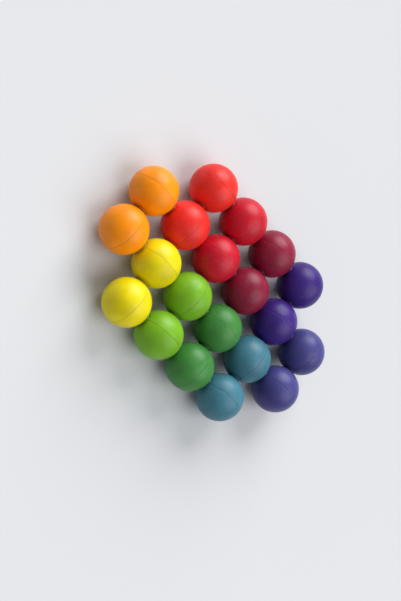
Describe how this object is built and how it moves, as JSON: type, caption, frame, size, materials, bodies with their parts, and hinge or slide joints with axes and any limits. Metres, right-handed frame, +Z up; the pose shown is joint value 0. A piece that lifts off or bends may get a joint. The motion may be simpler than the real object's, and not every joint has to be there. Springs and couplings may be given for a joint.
{
  "type": "twisty snake puzzle",
  "caption": "Closed loop of hollow plastic balls that swivel on snap-in pins, folded flat as a raft of colour pairs",
  "frame": {"origin": "centre of the bounding box, on the table plane under the balls", "axes": "the raft lies flat with +Z up, its long side along X, and the rows of balls in line with X and Y"},
  "size_m": [0.2, 0.1332, 0.0324],
  "materials": {
    "orange": "satin moulded plastic",
    "scarlet": "satin moulded plastic",
    "red": "satin moulded plastic",
    "crimson": "satin moulded plastic",
    "purple": "satin moulded plastic",
    "indigo": "satin moulded plastic",
    "teal": "satin moulded plastic",
    "green": "satin moulded plastic",
    "lime": "satin moulded plastic",
    "yellow": "satin moulded plastic",
    "pin": "natural moulded plastic"
  },
  "bodies": {
    "ball_orange_a": {"orange_a_socket_shell": "orange", "orange_a_cap_shell": "orange", "orange_a_swivel_pin": "pin"},
    "ball_orange_b": {"orange_b_socket_shell": "orange", "orange_b_cap_shell": "orange", "orange_b_swivel_pin": "pin"},
    "ball_scarlet_a": {"scarlet_a_socket_shell": "scarlet", "scarlet_a_cap_shell": "scarlet", "scarlet_a_swivel_pin": "pin"},
    "ball_scarlet_b": {"scarlet_b_socket_shell": "scarlet", "scarlet_b_cap_shell": "scarlet", "scarlet_b_swivel_pin": "pin"},
    "ball_red_a": {"red_a_socket_shell": "red", "red_a_cap_shell": "red", "red_a_swivel_pin": "pin"},
    "ball_red_b": {"red_b_socket_shell": "red", "red_b_cap_shell": "red", "red_b_swivel_pin": "pin"},
    "ball_crimson_a": {"crimson_a_socket_shell": "crimson", "crimson_a_cap_shell": "crimson", "crimson_a_swivel_pin": "pin"},
    "ball_crimson_b": {"crimson_b_socket_shell": "crimson", "crimson_b_cap_shell": "crimson", "crimson_b_swivel_pin": "pin"},
    "ball_purple_a": {"purple_a_socket_shell": "purple", "purple_a_cap_shell": "purple", "purple_a_swivel_pin": "pin"},
    "ball_purple_b": {"purple_b_socket_shell": "purple", "purple_b_cap_shell": "purple", "purple_b_swivel_pin": "pin"},
    "ball_indigo_a": {"indigo_a_socket_shell": "indigo", "indigo_a_cap_shell": "indigo", "indigo_a_swivel_pin": "pin"},
    "ball_indigo_b": {"indigo_b_socket_shell": "indigo", "indigo_b_cap_shell": "indigo", "indigo_b_swivel_pin": "pin"},
    "ball_teal_a": {"teal_a_socket_shell": "teal", "teal_a_cap_shell": "teal", "teal_a_swivel_pin": "pin"},
    "ball_teal_b": {"teal_b_socket_shell": "teal", "teal_b_cap_shell": "teal", "teal_b_swivel_pin": "pin"},
    "ball_green_a": {"green_a_socket_shell": "green", "green_a_cap_shell": "green", "green_a_swivel_pin": "pin"},
    "ball_green_b": {"green_b_socket_shell": "green", "green_b_cap_shell": "green", "green_b_swivel_pin": "pin"},
    "ball_lime_a": {"lime_a_socket_shell": "lime", "lime_a_cap_shell": "lime", "lime_a_swivel_pin": "pin"},
    "ball_lime_b": {"lime_b_socket_shell": "lime", "lime_b_cap_shell": "lime", "lime_b_swivel_pin": "pin"},
    "ball_yellow_a": {"yellow_a_socket_shell": "yellow", "yellow_a_cap_shell": "yellow", "yellow_a_swivel_pin": "pin"},
    "ball_yellow_b": {"yellow_b_socket_shell": "yellow", "yellow_b_cap_shell": "yellow", "yellow_b_swivel_pin": "pin"}
  },
  "joints": [
    {"name": "ring_indigo", "type": "hinge", "parent": "ball_indigo_b", "child": "ball_indigo_a", "pos_m": [0.0835, 0, 0.01618], "axis": [0, -1, 0], "range_deg": [-144, 0]},
    {"name": "fold_purple_indigo", "type": "hinge", "parent": "ball_indigo_a", "child": "ball_purple_b", "pos_m": [0.0668, 0.0167, 0.01618], "axis": [1, 0, 0], "range_deg": [0, 90]},
    {"name": "ring_purple", "type": "hinge", "parent": "ball_purple_b", "child": "ball_purple_a", "pos_m": [0.0501, 0.0334, 0.01618], "axis": [0, -1, 0], "range_deg": [0, 36]},
    {"name": "turn_crimson_purple", "type": "hinge", "parent": "ball_purple_a", "child": "ball_crimson_b", "pos_m": [0.0334, 0.0501, 0.01618], "axis": [-1, 0, 0], "continuous": true},
    {"name": "ring_crimson", "type": "hinge", "parent": "ball_crimson_b", "child": "ball_crimson_a", "pos_m": [0.0167, 0.0334, 0.01618], "axis": [0, -1, 0], "range_deg": [0, 36]},
    {"name": "fan_indigo_teal", "type": "hinge", "parent": "ball_indigo_b", "child": "ball_teal_a", "pos_m": [0.0668, -0.0167, 0.01618], "axis": [-1, 0, 0], "range_deg": [0, 45]},
    {"name": "ring_teal", "type": "hinge", "parent": "ball_teal_a", "child": "ball_teal_b", "pos_m": [0.0501, -0.0334, 0.01618], "axis": [0, -1, 0], "range_deg": [-36, 0]},
    {"name": "turn_teal_green", "type": "hinge", "parent": "ball_teal_b", "child": "ball_green_a", "pos_m": [0.0334, -0.0501, 0.01618], "axis": [1, 0, 0], "continuous": true},
    {"name": "ring_green", "type": "hinge", "parent": "ball_green_a", "child": "ball_green_b", "pos_m": [0.0167, -0.0334, 0.01618], "axis": [0, -1, 0], "range_deg": [-36, 0]},
    {"name": "fan_green_lime", "type": "hinge", "parent": "ball_green_b", "child": "ball_lime_a", "pos_m": [0, -0.0167, 0.01618], "axis": [-1, 0, 0], "range_deg": [0, 45]},
    {"name": "ring_lime", "type": "hinge", "parent": "ball_lime_a", "child": "ball_lime_b", "pos_m": [-0.0167, -0.0334, 0.01618], "axis": [0, -1, 0], "range_deg": [-36, 0]},
    {"name": "turn_lime_yellow", "type": "hinge", "parent": "ball_lime_b", "child": "ball_yellow_a", "pos_m": [-0.0334, -0.0501, 0.01618], "axis": [1, 0, 0], "continuous": true},
    {"name": "ring_yellow", "type": "hinge", "parent": "ball_yellow_a", "child": "ball_yellow_b", "pos_m": [-0.0501, -0.0334, 0.01618], "axis": [0, -1, 0], "range_deg": [-36, 0]},
    {"name": "fan_yellow_orange", "type": "hinge", "parent": "ball_yellow_b", "child": "ball_orange_a", "pos_m": [-0.0668, -0.0167, 0.01618], "axis": [-1, 0, 0], "range_deg": [-90, 0]},
    {"name": "ring_orange", "type": "hinge", "parent": "ball_orange_a", "child": "ball_orange_b", "pos_m": [-0.0835, 0, 0.01618], "axis": [0, -1, 0], "range_deg": [0, 144]},
    {"name": "fold_orange_scarlet", "type": "hinge", "parent": "ball_orange_b", "child": "ball_scarlet_a", "pos_m": [-0.0668, 0.0167, 0.01618], "axis": [1, 0, 0], "range_deg": [0, 90]},
    {"name": "ring_scarlet", "type": "hinge", "parent": "ball_scarlet_a", "child": "ball_scarlet_b", "pos_m": [-0.0501, 0.0334, 0.01618], "axis": [0, -1, 0], "range_deg": [-36, 0]},
    {"name": "turn_scarlet_red", "type": "hinge", "parent": "ball_scarlet_b", "child": "ball_red_a", "pos_m": [-0.0334, 0.0501, 0.01618], "axis": [-1, 0, 0], "continuous": true},
    {"name": "ring_red", "type": "hinge", "parent": "ball_red_a", "child": "ball_red_b", "pos_m": [-0.0167, 0.0334, 0.01618], "axis": [0, -1, 0], "range_deg": [-36, 0]}
  ],
  "couplings": [
    {"joint": "ring_purple", "follows": "ring_indigo", "ratio": -0.25},
    {"joint": "ring_crimson", "follows": "ring_indigo", "ratio": -0.25},
    {"joint": "ring_teal", "follows": "ring_indigo", "ratio": 0.25},
    {"joint": "ring_green", "follows": "ring_indigo", "ratio": 0.25},
    {"joint": "ring_lime", "follows": "ring_indigo", "ratio": 0.25},
    {"joint": "ring_yellow", "follows": "ring_indigo", "ratio": 0.25},
    {"joint": "ring_orange", "follows": "ring_indigo", "ratio": -1},
    {"joint": "ring_scarlet", "follows": "ring_indigo", "ratio": 0.25},
    {"joint": "ring_red", "follows": "ring_indigo", "ratio": 0.25},
    {"joint": "turn_scarlet_red", "follows": "turn_crimson_purple", "ratio": 1},
    {"joint": "turn_lime_yellow", "follows": "turn_teal_green", "ratio": -1},
    {"joint": "fan_indigo_teal", "follows": "fan_green_lime", "ratio": 1},
    {"joint": "fan_yellow_orange", "follows": "fan_green_lime", "ratio": -2}
  ]
}
